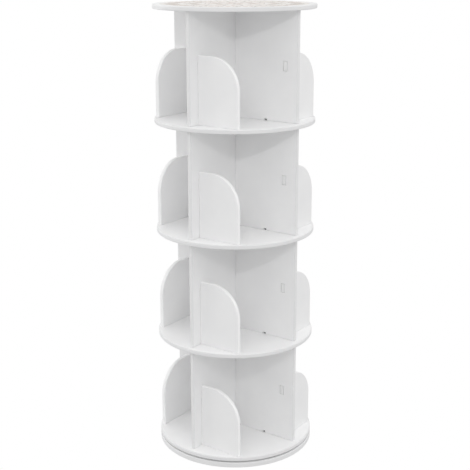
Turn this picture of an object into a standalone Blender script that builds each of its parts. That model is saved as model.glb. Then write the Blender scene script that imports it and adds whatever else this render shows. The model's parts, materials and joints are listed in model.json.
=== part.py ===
"""Rotating shelf: a round bookcase of four tiers that turns on a ring bearing.

Metres, +Z up. The origin is the middle of the underside of the base, and the tower turns about Z.
The tower is flat sheet: round shelves, two halved divider boards a tier that cross on the axis, and
four arch plates a tier that stand against the dividers like the sails of a pinwheel.
"""

import math

import bmesh
import bpy
from mathutils import Matrix

# Clearances
FIT = 0.0003               # between pieces that touch: seats, tenons and screws
RACE_CLEARANCE = 0.0006    # round a ball in its races
TURNING_CLEARANCE = 0.001  # between a bearing ring and the board that it only passes

# Sheet and discs
BOARD = 0.012              # thickness of every board of the tower
DISC_RADIUS = 0.230
RIM_ROUND = 0.0025         # rounding of a disc's rim, above and below
TIERS = 4
CLEAR_HEIGHT = 0.306       # from a shelf to the disc above it
BASE_THICKNESS = 0.015
TURNING_GAP = 0.005        # open gap between the base and the lowest shelf

# Dividers
DIVIDER_SETBACK = 0.016    # from the rim in to a divider's end
END_ROUND = 0.0025
TAB_MIDDLE = 0.048         # distance of a divider's tabs from the axis
TAB_LENGTH = 0.036
TAB_GAP = 0.001            # between the tabs that enter a disc from above and below

# Arch plates
ARCH_SETBACK = 0.041       # from a divider's end in to a plate's middle plane
ARCH_TIP_SETBACK = 0.004   # from the rim in to a plate's free end
ARCH_HEIGHT = 0.188
ARCH_RADIUS = 0.090        # rounding of the free upper corner
EDGE_ROUND = 0.0025
TENON_DROP = 0.034         # from a plate's top down to the middle of the tenon through the divider
TENON_HEIGHT = 0.026
FOOT_TENON_START = 0.045   # along the plate's foot, from the divider
FOOT_TENON_LENGTH = 0.040

# Screws
SCREW_CIRCLE = 0.110       # distance of a disc's screws from the axis
SHANK_RADIUS = 0.002
HEAD_RADIUS = 0.0037
HEAD_HEIGHT = 0.0025
HEAD_SIDE_ROOM = 0.0008    # beside a head, in the notch of the divider that stands over it
HEADROOM = 0.0027          # above the head, in the same notch
SCREW_GRIP = 0.020         # how far a screw enters a divider's upper edge
PILOT_EXTRA = 0.002        # depth of a pilot hole past the screw's point
POINT_SETBACK = 0.0016     # from a bearing ring's far face in to a screw's point

# Top panel
RIM_WIDTH = 0.020          # plain ring of the top disc round the panel
PANEL_THICKNESS = 0.0015

# Ring bearing
SEAT_DEPTH = 0.002         # depth of the ring seats in the base and in the lowest shelf
RING_WIDTH = 0.0116
RACE_GAP = 0.002           # between the two rings
BALL_RADIUS = 0.002
BALLS = 12
CAGE_THICKNESS = 0.0008
CAGE_HEIGHT = 0.003

# Facets
DISC_STEPS = 48
RING_STEPS = 40
SEAT_STEPS = 32
SCREW_STEPS = 8
ROUND_STEPS = 2            # facets of a small quarter rounding
ARCH_STEPS = 6
RACE_STEPS = 4

# Heights that follow
BASE_TOP = BASE_THICKNESS
FIRST_SHELF = BASE_TOP + TURNING_GAP
TIER_PITCH = CLEAR_HEIGHT + BOARD
RACE_HEIGHT = BASE_TOP + TURNING_GAP / 2
RING_LOW = BASE_TOP - SEAT_DEPTH
RING_HIGH = FIRST_SHELF + SEAT_DEPTH
OUTER_RING_HIGH = RING_HIGH - TURNING_CLEARANCE
INNER_RING_LOW = RING_LOW + TURNING_CLEARANCE
TAB_DEPTH = (BOARD - TAB_GAP) / 2
MORTISE_DEPTH = TAB_DEPTH + FIT
TENON_MIDDLE = ARCH_HEIGHT - TENON_DROP
PANEL_POCKET = PANEL_THICKNESS + FIT
SINK_DEPTH = HEAD_HEIGHT + 2 * FIT  # counterbore that hides a screw's head
NOTCH_HEIGHT = HEAD_HEIGHT + HEADROOM + FIT

# Reaches that follow
PANEL_RADIUS = DISC_RADIUS - RIM_WIDTH
DIVIDER_REACH = DISC_RADIUS - DIVIDER_SETBACK
ARCH_MIDDLE = DIVIDER_REACH - ARCH_SETBACK
ARCH_START = BOARD / 2 + FIT
ARCH_END = math.sqrt((DISC_RADIUS - ARCH_TIP_SETBACK) ** 2 - (ARCH_MIDDLE + BOARD / 2) ** 2)
ARCH_LENGTH = ARCH_END - ARCH_START
NOTCH_WIDTH = 2 * (HEAD_RADIUS + HEAD_SIDE_ROOM)
INNER_RING_OUT = SCREW_CIRCLE + RING_WIDTH / 2
INNER_RING_IN = SCREW_CIRCLE - RING_WIDTH / 2
BALL_CIRCLE = INNER_RING_OUT + RACE_GAP / 2
OUTER_RING_IN = BALL_CIRCLE + RACE_GAP / 2
OUTER_RING_OUT = OUTER_RING_IN + RING_WIDTH
BASE_SCREW_CIRCLE = (OUTER_RING_IN + OUTER_RING_OUT) / 2

QUARTERS = ("right", "back", "left", "front")


def shelf_height(number):
    """Underside of disc number 1 to TIERS + 1, counted from the lowest."""
    return FIRST_SHELF + (number - 1) * TIER_PITCH


def clear_scene():
    for item in list(bpy.data.objects):
        bpy.data.objects.remove(item, do_unlink=True)


def make_collection(name):
    group = bpy.data.collections.new(name)
    bpy.context.scene.collection.children.link(group)
    return group


def make_material(name, colour, roughness, metallic=0.0):
    material = bpy.data.materials.new(name)
    material.use_nodes = True
    shader = material.node_tree.nodes["Principled BSDF"]
    shader.inputs["Base Color"].default_value = (*colour, 1.0)
    shader.inputs["Roughness"].default_value = roughness
    shader.inputs["Metallic"].default_value = metallic
    return material


def add_piece(name, mesh, finish, parent, height=0.0, quarter=0):
    """Adds a piece with its own copy of a finish, at a height and turned by quarter turns about Z."""
    piece = bpy.data.objects.new(name, mesh)
    PIECES.objects.link(piece)
    piece.parent = parent
    piece.location = (0.0, 0.0, height)
    piece.rotation_euler = (0.0, 0.0, quarter * math.pi / 2)
    colour, roughness, metallic = finish
    material = make_material(name, colour, roughness, metallic)
    piece.data.materials.append(material)
    return piece


def mesh_from(name, bm):
    mesh = bpy.data.meshes.new(name)
    bm.to_mesh(mesh)
    bm.free()
    return mesh


def add_cutter(name, mesh, piece):
    """Adds a tool in the place of the piece that it shapes."""
    cutter = bpy.data.objects.new(name, mesh)
    CUTTERS.objects.link(cutter)
    cutter.parent = piece
    cutter.hide_render = True
    cutter.display_type = "WIRE"
    return cutter


def combine(piece, cutter, operation):
    boolean = piece.modifiers.new(cutter.name, "BOOLEAN")
    boolean.operation = operation
    boolean.solver = "EXACT"
    boolean.object = cutter


def add_box(bm, low, high):
    middle = [(a + b) / 2 for a, b in zip(low, high)]
    size = [b - a for a, b in zip(low, high)]
    place = Matrix.Translation(middle) @ Matrix.Diagonal((*size, 1.0))
    return bmesh.ops.create_cube(bm, size=1.0, matrix=place)["verts"]


def add_rod(bm, x, y, low, high, radius, segments=SCREW_STEPS):
    place = Matrix.Translation((x, y, (low + high) / 2))
    bmesh.ops.create_cone(
        bm, cap_ends=True, segments=segments, radius1=radius, radius2=radius, depth=high - low, matrix=place
    )


def turn_points(angle, x, y):
    """A plan point turned about the axis."""
    return x * math.cos(angle) - y * math.sin(angle), x * math.sin(angle) + y * math.cos(angle)


def round_corner(x, z, radius, start, steps=ROUND_STEPS):
    """Points of a quarter arc about (x, z), clockwise from the angle start in degrees."""
    angles = [math.radians(start - 90.0 * i / steps) for i in range(steps + 1)]
    return [(x + radius * math.cos(a), z + radius * math.sin(a)) for a in angles]


def turned_mesh(name, profile, closed):
    """A mesh of edges in the XZ plane, for a Screw modifier to turn about Z."""
    bm = bmesh.new()
    verts = [bm.verts.new((x, 0.0, z)) for x, z in profile]
    pairs = list(zip(verts, verts[1:]))
    if closed:
        pairs.append((verts[-1], verts[0]))
    for a, b in pairs:
        bm.edges.new((a, b))
    return mesh_from(name, bm)


def turn(piece, steps):
    screw = piece.modifiers.new("turn", "SCREW")
    screw.steps = steps
    screw.render_steps = steps
    screw.use_merge_vertices = True
    screw.merge_threshold = 0.00001
    screw.use_smooth_shade = True


def disc_profile(radius, thickness, rounding):
    """From the axis over the rounded rim and back, top to bottom, with the underside at zero."""
    rounding = min(rounding, 0.45 * thickness)
    upper = round_corner(radius - rounding, thickness - rounding, rounding, 90.0)
    lower = round_corner(radius - rounding, rounding, rounding, 0.0)
    return [(0.0, thickness), *upper, *lower, (0.0, 0.0)]


def screw_places(circle, turned=0.0):
    """Plan points of the four screws on a circle."""
    return [turn_points(math.radians(turned) + q * math.pi / 2, circle, 0.0) for q in range(4)]


def add_screw_holes(bm, circle, low, high, radius=SHANK_RADIUS + FIT, turned=0.0):
    for x, y in screw_places(circle, turned):
        add_rod(bm, x, y, low, high, radius)


def add_turned_box(bm, low, high, quarter):
    """A box of the first quarter, turned to another quarter of the disc."""
    verts = add_box(bm, low, high)
    bmesh.ops.rotate(bm, verts=verts, cent=(0, 0, 0), matrix=Matrix.Rotation(quarter * math.pi / 2, 3, "Z"))


def add_tab_mortises(bm, low, high):
    """Pockets for the tabs of the dividers that stand on or under a disc."""
    half = TAB_LENGTH / 2 + FIT
    wide = BOARD / 2 + FIT
    for quarter in range(4):
        add_turned_box(bm, (TAB_MIDDLE - half, -wide, low), (TAB_MIDDLE + half, wide, high), quarter)


def add_foot_mortises(bm, low, high):
    """Pockets for the tenons under the arch plates."""
    near, far = ARCH_MIDDLE - BOARD / 2 - FIT, ARCH_MIDDLE + BOARD / 2 + FIT
    start = ARCH_START + FOOT_TENON_START - FIT
    end = start + FOOT_TENON_LENGTH + 2 * FIT
    for quarter in range(4):
        add_turned_box(bm, (near, start, low), (far, end, high), quarter)


def cut(piece, name, bm):
    combine(piece, add_cutter(name, mesh_from(name, bm), piece), "DIFFERENCE")


def join(piece, name, bm):
    combine(piece, add_cutter(name, mesh_from(name, bm), piece), "UNION")


def cut_ring_seat(piece, low, high):
    """The shallow round trench that the bearing sits in."""
    inner = INNER_RING_IN - TURNING_CLEARANCE
    outer = OUTER_RING_OUT + TURNING_CLEARANCE
    profile = [(inner, high), (outer, high), (outer, low), (inner, low)]
    name = f"{piece.name}_seat_cutter"
    cutter = add_cutter(name, turned_mesh(name, profile, closed=True), piece)
    turn(cutter, SEAT_STEPS)
    combine(piece, cutter, "DIFFERENCE")


def make_disc(name, thickness, finish, parent, height):
    mesh = turned_mesh(name, disc_profile(DISC_RADIUS, thickness, RIM_ROUND), closed=False)
    piece = add_piece(name, mesh, finish, parent, height)
    turn(piece, DISC_STEPS)
    return piece


def make_base(parent):
    base = make_disc("base_disc", BASE_THICKNESS, WHITE_BOARD, parent, 0.0)
    cut_ring_seat(base, RING_LOW, BASE_TOP + BOARD)
    holes = bmesh.new()
    add_screw_holes(holes, BASE_SCREW_CIRCLE, -BOARD, BASE_TOP + BOARD, turned=45.0)
    cut(base, "base_hole_cutter", holes)
    sinks = bmesh.new()
    add_screw_holes(sinks, BASE_SCREW_CIRCLE, -BOARD, SINK_DEPTH, HEAD_RADIUS + FIT, turned=45.0)
    cut(base, "base_sink_cutter", sinks)


def make_shelf(number, parent):
    """A shelf disc, with mortises for what stands on it and, past the lowest, for the dividers below."""
    shelf = make_disc(f"shelf_disc_{number}", BOARD, WHITE_BOARD, parent, shelf_height(number))
    if number == 1:
        cut_ring_seat(shelf, -BOARD, SEAT_DEPTH)
    bm = bmesh.new()
    add_tab_mortises(bm, BOARD - MORTISE_DEPTH if number == 1 else -BOARD, 2 * BOARD)
    add_foot_mortises(bm, BOARD - MORTISE_DEPTH, 2 * BOARD)
    add_screw_holes(bm, SCREW_CIRCLE, -BOARD, 2 * BOARD)
    cut(shelf, f"shelf_cutter_{number}", bm)


def make_top(parent):
    """The top disc: pocket for the panel above, sunk screws, and blind mortises below."""
    top = make_disc("top_disc", BOARD, WHITE_BOARD, parent, shelf_height(TIERS + 1))
    pocket = bmesh.new()
    add_rod(pocket, 0.0, 0.0, BOARD - PANEL_POCKET, 2 * BOARD, PANEL_RADIUS + FIT, DISC_STEPS)
    cut(top, "top_pocket_cutter", pocket)
    below = bmesh.new()
    add_tab_mortises(below, -BOARD, MORTISE_DEPTH)
    add_screw_holes(below, SCREW_CIRCLE, -BOARD, 2 * BOARD)
    cut(top, "top_hole_cutter", below)
    sinks = bmesh.new()
    add_screw_holes(sinks, SCREW_CIRCLE, BOARD - PANEL_POCKET - SINK_DEPTH, 2 * BOARD, HEAD_RADIUS + FIT)
    cut(top, "top_sink_cutter", sinks)


def make_panel(parent):
    """The round ornamental panel, let in flush with the top disc."""
    profile = [(0.0, PANEL_THICKNESS), (PANEL_RADIUS, PANEL_THICKNESS), (PANEL_RADIUS, 0.0), (0.0, 0.0)]
    mesh = turned_mesh("ornament_panel", profile, closed=False)
    height = shelf_height(TIERS + 1) + BOARD - PANEL_THICKNESS
    turn(add_piece("ornament_panel", mesh, PANEL_FINISH, parent, height), DISC_STEPS)


def divider_blank(height):
    """A divider board along X with its four upright end edges rounded."""
    bm = bmesh.new()
    add_box(bm, (-DIVIDER_REACH, -BOARD / 2, 0.0), (DIVIDER_REACH, BOARD / 2, height))
    upright = [e for e in bm.edges if abs(e.verts[0].co.z - e.verts[1].co.z) > height / 2]
    rounding = min(END_ROUND, 0.45 * BOARD)
    bmesh.ops.bevel(bm, geom=upright, offset=rounding, segments=ROUND_STEPS, profile=0.5, affect="EDGES")
    return mesh_from("divider", bm)


def divider_tabs(height):
    """Tabs above and below, joined to the board."""
    bm = bmesh.new()
    root = 2 * TAB_DEPTH
    for side in (-1, 1):
        low = side * TAB_MIDDLE - TAB_LENGTH / 2
        high = side * TAB_MIDDLE + TAB_LENGTH / 2
        add_box(bm, (low, -BOARD / 2, -TAB_DEPTH), (high, BOARD / 2, root))
        add_box(bm, (low, -BOARD / 2, height - root), (high, BOARD / 2, height + TAB_DEPTH))
    return bm


def divider_cuts(height, lap_from_top):
    """The half lap, the notches over the screws below, the mortises and the pilot holes."""
    bm = bmesh.new()
    half = BOARD / 2 + FIT
    lap_end = height / 2 + (-FIT if lap_from_top else FIT) / 2
    lap = (lap_end, height + BOARD) if lap_from_top else (-BOARD, lap_end)
    add_box(bm, (-half, -BOARD, lap[0]), (half, BOARD, lap[1]))
    for side in (-1, 1):
        screw = side * SCREW_CIRCLE
        add_box(bm, (screw - NOTCH_WIDTH / 2, -BOARD, -BOARD), (screw + NOTCH_WIDTH / 2, BOARD, NOTCH_HEIGHT))
        plate = side * ARCH_MIDDLE
        tenon_low = TENON_MIDDLE - TENON_HEIGHT / 2 - FIT
        tenon_high = TENON_MIDDLE + TENON_HEIGHT / 2 + FIT
        add_box(bm, (plate - half, -BOARD, tenon_low), (plate + half, BOARD, tenon_high))
        pilot_low = height - SCREW_GRIP - PILOT_EXTRA
        add_rod(bm, screw, 0.0, pilot_low, height + BOARD, SHANK_RADIUS + FIT)
    return bm


def make_divider(name, tier, quarter, lap_from_top, parent):
    height = CLEAR_HEIGHT - 2 * FIT
    floor = shelf_height(tier) + BOARD + FIT
    board = add_piece(name, divider_blank(height), WHITE_BOARD, parent, floor, quarter)
    join(board, f"{name}_tabs", divider_tabs(height))
    cut(board, f"{name}_cutter", divider_cuts(height, lap_from_top))


def arch_outline():
    """The plate's face: square at the divider and the foot, one large round corner."""
    radius = min(ARCH_RADIUS, 0.9 * ARCH_LENGTH, 0.9 * ARCH_HEIGHT)
    across, up = ARCH_LENGTH - radius, ARCH_HEIGHT - radius
    angles = [math.pi / 2 * i / ARCH_STEPS for i in range(ARCH_STEPS + 1)]
    arc = [(across + radius * math.cos(a), up + radius * math.sin(a)) for a in angles]
    return [(0.0, 0.0), (ARCH_LENGTH, 0.0), *arc, (0.0, ARCH_HEIGHT)]


def arch_blank():
    """The plate as a filled outline with rounded edges, stood upright against the +X divider."""
    curve = bpy.data.curves.new("arch", "CURVE")
    curve.dimensions = "2D"
    curve.fill_mode = "BOTH"
    rounding = min(EDGE_ROUND, 0.45 * BOARD)
    curve.extrude = BOARD / 2 - rounding
    curve.bevel_depth = rounding
    curve.bevel_resolution = ROUND_STEPS - 1
    curve.offset = -rounding
    outline = arch_outline()
    spline = curve.splines.new("POLY")
    spline.points.add(len(outline) - 1)
    for point, (x, y) in zip(spline.points, outline):
        point.co = (x, y, 0.0, 1.0)
    spline.use_cyclic_u = True
    carrier = bpy.data.objects.new("arch", curve)
    PIECES.objects.link(carrier)
    evaluated = carrier.evaluated_get(bpy.context.evaluated_depsgraph_get())
    mesh = bpy.data.meshes.new_from_object(evaluated)
    bpy.data.objects.remove(carrier, do_unlink=True)
    bm = bmesh.new()
    bm.from_mesh(mesh)
    bmesh.ops.remove_doubles(bm, verts=bm.verts, dist=0.00001)
    upright = Matrix(((0, 0, 1, ARCH_MIDDLE), (1, 0, 0, ARCH_START), (0, 1, 0, FIT), (0, 0, 0, 1)))
    bm.transform(upright)
    bmesh.ops.recalc_face_normals(bm, faces=bm.faces)
    bm.to_mesh(mesh)
    bm.free()
    mesh.materials.clear()
    return mesh


def arch_tenons():
    """The tenon through the divider, flush with its far side, and the one in the shelf."""
    bm = bmesh.new()
    half = BOARD / 2
    near, far = ARCH_MIDDLE - half, ARCH_MIDDLE + half
    low = FIT + TENON_MIDDLE - TENON_HEIGHT / 2
    root = 2 * EDGE_ROUND
    add_box(bm, (near, -half, low), (far, ARCH_START + root, low + TENON_HEIGHT))
    start = ARCH_START + FOOT_TENON_START
    add_box(bm, (near, start, -TAB_DEPTH), (far, start + FOOT_TENON_LENGTH, root))
    return bm


def make_arch(tier, quarter, parent):
    name = f"arch_plate_{tier}_{QUARTERS[quarter]}"
    plate = add_piece(name, arch_blank(), WHITE_BOARD, parent, shelf_height(tier) + BOARD, quarter)
    join(plate, f"{name}_tenons", arch_tenons())


def screw_profile(length):
    """A screw, point down, with the underside of its low head at zero."""
    head = [(0.0, HEAD_HEIGHT), (HEAD_RADIUS - HEAD_HEIGHT / 2, HEAD_HEIGHT), (HEAD_RADIUS, 0.0)]
    point = 2 * SHANK_RADIUS
    return [*head, (SHANK_RADIUS, 0.0), (SHANK_RADIUS, -length + point), (0.0, -length)]


def make_screw(name, x, y, seat, length, parent, head_down=False):
    """A screw that bears on the face at the height seat."""
    piece = add_piece(name, turned_mesh(name, screw_profile(length), closed=False), STEEL, parent)
    piece.location = (x, y, seat - FIT if head_down else seat + FIT)
    piece.rotation_euler = (math.pi if head_down else 0.0, 0.0, 0.0)
    turn(piece, SCREW_STEPS)


def make_disc_screws(parent):
    """Four screws down through each disc: into the bearing under the lowest, else into the dividers."""
    for number in range(1, TIERS + 2):
        top = number == TIERS + 1
        under = shelf_height(number)
        seat = under + BOARD - (PANEL_POCKET + SINK_DEPTH if top else 0.0)
        end = INNER_RING_LOW + POINT_SETBACK if number == 1 else under - SCREW_GRIP
        for quarter, (x, y) in enumerate(screw_places(SCREW_CIRCLE)):
            name = f"{'top' if top else f'shelf_{number}'}_screw_{QUARTERS[quarter]}"
            make_screw(name, x, y, seat, seat - end, parent)


def make_base_screws(parent):
    """Four screws up through the base into the outer bearing ring, their heads sunk underneath."""
    length = OUTER_RING_HIGH - POINT_SETBACK - SINK_DEPTH
    for number, (x, y) in enumerate(screw_places(BASE_SCREW_CIRCLE, 45.0), 1):
        make_screw(f"base_screw_{number}", x, y, SINK_DEPTH, length, parent, head_down=True)


def race_arc(side):
    """Points of a race, downwards, on the outer side (1) or the inner side (-1) of the ball circle."""
    radius = BALL_RADIUS + RACE_CLEARANCE
    reach = math.acos(RACE_GAP / 2 / radius)
    angles = [reach - 2 * reach * i / RACE_STEPS for i in range(RACE_STEPS + 1)]
    return [(BALL_CIRCLE + side * radius * math.cos(a), RACE_HEIGHT + radius * math.sin(a)) for a in angles]


def inner_ring_profile():
    """The ring that carries the tower: its race faces outwards, and it clears the base."""
    low, high = INNER_RING_LOW, RING_HIGH - FIT
    upper = [(INNER_RING_IN, high), (INNER_RING_OUT, high)]
    return [*upper, *race_arc(-1), (INNER_RING_OUT, low), (INNER_RING_IN, low)]


def outer_ring_profile():
    """The fixed ring: its race faces inwards, and it clears the lowest shelf."""
    low, high = RING_LOW + FIT, OUTER_RING_HIGH
    race = list(reversed(race_arc(1)))
    return [(OUTER_RING_OUT, high), (OUTER_RING_OUT, low), (OUTER_RING_IN, low), *race, (OUTER_RING_IN, high)]


def make_ring(name, profile, circle, turned, parent):
    ring = add_piece(name, turned_mesh(name, profile, closed=True), ALUMINIUM, parent)
    turn(ring, RING_STEPS)
    holes = bmesh.new()
    add_screw_holes(holes, circle, 0.0, RING_HIGH + BOARD, turned=turned)
    cut(ring, f"{name}_hole_cutter", holes)


def make_cage(parent):
    """The ball cage: a thin ring with the balls held in it."""
    inner = BALL_CIRCLE - CAGE_THICKNESS / 2
    outer = BALL_CIRCLE + CAGE_THICKNESS / 2
    low = RACE_HEIGHT - CAGE_HEIGHT / 2
    high = RACE_HEIGHT + CAGE_HEIGHT / 2
    profile = [(inner, high), (outer, high), (outer, low), (inner, low)]
    cage = add_piece("ball_cage", turned_mesh("ball_cage", profile, closed=True), CAGE_FINISH, parent)
    turn(cage, RING_STEPS)
    balls = bmesh.new()
    for i in range(BALLS):
        x, y = turn_points(2 * math.pi * i / BALLS, BALL_CIRCLE, 0.0)
        place = Matrix.Translation((x, y, RACE_HEIGHT))
        bmesh.ops.create_uvsphere(balls, u_segments=6, v_segments=4, radius=BALL_RADIUS, matrix=place)
    join(cage, "ball_shapes", balls)


def make_axis(name):
    """An empty on the axis, which carries what turns together."""
    empty = bpy.data.objects.new(name, None)
    PIECES.objects.link(empty)
    return empty


WHITE_BOARD = ((0.86, 0.86, 0.86), 0.38, 0.0)
PANEL_FINISH = ((0.72, 0.64, 0.58), 0.45, 0.0)
STEEL = ((0.62, 0.62, 0.60), 0.30, 1.0)
ALUMINIUM = ((0.78, 0.79, 0.80), 0.35, 1.0)
CAGE_FINISH = ((0.20, 0.20, 0.21), 0.40, 0.0)

clear_scene()
PIECES = make_collection("rotating_shelf")
CUTTERS = make_collection("cutters")


def build():
    base = make_axis("base_axis")
    cage = make_axis("cage_axis")
    tower = make_axis("tower_axis")
    make_base(base)
    make_ring("bearing_outer_ring", outer_ring_profile(), BASE_SCREW_CIRCLE, 45.0, base)
    make_base_screws(base)
    make_cage(cage)
    make_ring("bearing_inner_ring", inner_ring_profile(), SCREW_CIRCLE, 0.0, tower)
    for tier in range(1, TIERS + 1):
        make_shelf(tier, tower)
        make_divider(f"divider_lower_{tier}", tier, 0, True, tower)
        make_divider(f"divider_upper_{tier}", tier, 1, False, tower)
        for quarter in range(4):
            make_arch(tier, quarter, tower)
    make_top(tower)
    make_panel(tower)
    make_disc_screws(tower)


build()
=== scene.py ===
"""The looks of the rotating shelf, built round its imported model.

Metres, +Z up, in the model's own frame: the origin is the middle of the underside of the base, and
the tower turns about Z. The model's boards, rings and screws are faceted, so each has a smooth piece
in its place, with the same outline and the small roundings of a machined board, and its own finish.
"""

import json
import math

import bmesh
import bpy
from mathutils import Matrix, Vector

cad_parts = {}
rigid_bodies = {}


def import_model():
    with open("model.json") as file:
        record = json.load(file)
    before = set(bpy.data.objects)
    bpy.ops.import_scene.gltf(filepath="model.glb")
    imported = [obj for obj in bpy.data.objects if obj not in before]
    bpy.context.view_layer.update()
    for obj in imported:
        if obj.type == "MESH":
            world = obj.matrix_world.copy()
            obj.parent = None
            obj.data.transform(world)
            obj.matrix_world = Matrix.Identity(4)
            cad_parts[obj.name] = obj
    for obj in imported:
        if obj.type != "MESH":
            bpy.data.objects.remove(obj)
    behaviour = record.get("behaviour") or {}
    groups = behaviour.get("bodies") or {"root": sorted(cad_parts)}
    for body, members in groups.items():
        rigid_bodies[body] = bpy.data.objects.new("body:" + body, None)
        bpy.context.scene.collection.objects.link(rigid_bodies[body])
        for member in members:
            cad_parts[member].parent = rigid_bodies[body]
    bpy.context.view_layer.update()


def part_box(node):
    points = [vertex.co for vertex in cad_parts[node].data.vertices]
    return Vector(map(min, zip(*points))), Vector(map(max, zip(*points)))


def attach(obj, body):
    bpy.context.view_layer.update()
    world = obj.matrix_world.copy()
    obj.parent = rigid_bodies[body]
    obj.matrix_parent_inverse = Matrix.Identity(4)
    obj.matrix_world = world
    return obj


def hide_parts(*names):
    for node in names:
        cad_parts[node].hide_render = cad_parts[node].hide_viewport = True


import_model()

FIT = 0.0003             # gap between pieces that touch, as in the model
MERGE = 0.00001
SHARP = math.radians(32)  # edges that turn by more than this aren't shaded smooth
TIERS = 4
QUARTERS = ("right", "back", "left", "front")

# Sizes read from the model
BASE_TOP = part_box("base_disc")[1].z
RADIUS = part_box("base_disc")[1].x
FIRST_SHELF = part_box("shelf_disc_1")[0].z
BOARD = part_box("shelf_disc_1")[1].z - FIRST_SHELF
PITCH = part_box("shelf_disc_2")[0].z - FIRST_SHELF
CLEAR_HEIGHT = PITCH - BOARD
FLOOR = FIRST_SHELF + BOARD
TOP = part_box("top_disc")[1].z
TAB_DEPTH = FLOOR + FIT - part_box("divider_lower_1")[0].z
DIVIDER_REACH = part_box("divider_lower_1")[1].x
ARCH_LOW, ARCH_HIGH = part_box("arch_plate_1_right")
ARCH_MIDDLE = (ARCH_LOW.x + ARCH_HIGH.x) / 2
ARCH_START = BOARD / 2 + FIT
ARCH_LENGTH = ARCH_HIGH.y - ARCH_START
ARCH_HEIGHT = ARCH_HIGH.z - FLOOR - FIT
PANEL_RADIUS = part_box("ornament_panel")[1].x
PANEL_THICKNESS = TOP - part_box("ornament_panel")[0].z
SCREW_LOW, SCREW_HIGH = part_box("shelf_2_screw_right")
SCREW_CIRCLE = (SCREW_LOW.x + SCREW_HIGH.x) / 2
HEAD_RADIUS = (SCREW_HIGH.y - SCREW_LOW.y) / 2
HEAD_HEIGHT = SCREW_HIGH.z - (FLOOR + PITCH) - FIT
INNER_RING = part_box("bearing_inner_ring")
OUTER_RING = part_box("bearing_outer_ring")

# Sizes of the model that its boxes don't give
RIM_ROUND = 0.0025
END_ROUND = 0.0025
EDGE_ROUND = 0.0025
TAB_MIDDLE = 0.048
TAB_LENGTH = 0.036
ARCH_RADIUS = 0.090
TENON_MIDDLE = 0.154
TENON_HEIGHT = 0.026
FOOT_TENON_START = 0.045
FOOT_TENON_LENGTH = 0.040
NOTCH_WIDTH = 0.009
NOTCH_HEIGHT = 0.0055
PILOT_DEPTH = 0.022
SHANK_RADIUS = 0.002
RING_WIDTH = 0.0116
RACE_GAP = 0.002
BALL_RADIUS = 0.002
RACE_RADIUS = 0.0026
BALLS = 12
CAGE_THICKNESS = 0.0008
CAGE_HEIGHT = 0.003
TURNING_CLEARANCE = 0.001
BASE_SCREW_TURN = math.radians(45)
RACE_HEIGHT = (BASE_TOP + FIRST_SHELF) / 2
BALL_CIRCLE = SCREW_CIRCLE + (RING_WIDTH + RACE_GAP) / 2
BASE_SCREW_CIRCLE = BALL_CIRCLE + (RACE_GAP + RING_WIDTH) / 2
SEAT_INNER = SCREW_CIRCLE - RING_WIDTH / 2 - TURNING_CLEARANCE
SEAT_OUTER = OUTER_RING[1].x + TURNING_CLEARANCE

# Fine detail that only this script adds
DISC_STEPS = 192
RING_STEPS = 144
SCREW_STEPS = 32
ARCH_STEPS = 28
RACE_STEPS = 14
CORNER_STEPS = 6
RIM_LEAD = 0.001         # a flat strip inside a disc's rounded rim, which keeps the shading off its faces
EASED_EDGE = 0.0005      # rounding of a divider's long edges
MARGIN = 2 * EDGE_ROUND  # what is sawn off an arch plate's foot after its edges are rounded
SIDE_MARGIN = 0.0012     # the same by the divider, where a little of the rounding stays
TENON_CHAMFER = 0.0007
MOUTH_DEPTH = 0.0012     # the broken edge at the outer side and top of a tenon slot
MOUTH_REACH = 0.0012
TENON_PLAY = 0.0004      # a tenon's extra room at the inner side and foot of its slot
RECESS_ARM = 0.0023      # the cross recess of a screw
RECESS_WIDTH = 0.00085
RECESS_DEPTH = 0.0015
HEAD_CROWN = 0.62        # the rounding of a screw's head, as a share of its height
RING_NICK = 0.0003       # the broken corners of a bearing ring
POCKET_ROOM = 0.00016    # round a ball in its cage
PANEL_RELIEF = 0.0006    # height of the ornament over its field
LEAF_SINK = 0.0001       # how far a leaf's outline lies in the field
BORDER_WIDTH = 0.004     # the raised border of the ornament
BORDER_SLOPE = 0.0004


# Meshes

def mesh_from(name, bm):
    bmesh.ops.recalc_face_normals(bm, faces=bm.faces)
    mesh = bpy.data.meshes.new(name)
    bm.to_mesh(mesh)
    bm.free()
    return mesh


def corner_arc(x, z, radius, start, steps=CORNER_STEPS):
    """Points of a quarter arc about (x, z), clockwise from the angle start in degrees."""
    angles = [math.radians(start - 90 * i / steps) for i in range(steps + 1)]
    return [(x + radius * math.cos(a), z + radius * math.sin(a)) for a in angles]


def turned(profile, steps=DISC_STEPS, closed=False):
    """A bmesh of a profile in the XZ plane turned about Z."""
    bm = bmesh.new()
    verts = [bm.verts.new((x, 0.0, z)) for x, z in profile]
    edges = [bm.edges.new(pair) for pair in zip(verts, verts[1:])]
    if closed:
        edges.append(bm.edges.new((verts[-1], verts[0])))
    bmesh.ops.spin(
        bm,
        geom=verts + edges,
        axis=(0, 0, 1),
        cent=(0, 0, 0),
        angle=2 * math.pi,
        steps=steps,
        use_merge=True,
    )
    bmesh.ops.remove_doubles(bm, verts=bm.verts, dist=MERGE)
    return bm


def add_box(bm, low, high):
    middle = [(a + b) / 2 for a, b in zip(low, high)]
    size = [b - a for a, b in zip(low, high)]
    place = Matrix.Translation(middle) @ Matrix.Diagonal((*size, 1.0))
    return bmesh.ops.create_cube(bm, size=1.0, matrix=place)["verts"]


def add_rod(bm, x, y, low, high, radius, top_radius=None, segments=24):
    place = Matrix.Translation((x, y, (low + high) / 2))
    top = radius if top_radius is None else top_radius
    bmesh.ops.create_cone(
        bm,
        cap_ends=True,
        segments=segments,
        radius1=radius,
        radius2=top,
        depth=high - low,
        matrix=place,
    )


def add_turned_box(bm, low, high, quarter):
    verts = add_box(bm, low, high)
    bmesh.ops.rotate(bm, verts=verts, cent=(0, 0, 0), matrix=Matrix.Rotation(quarter * math.pi / 2, 3, "Z"))


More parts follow.
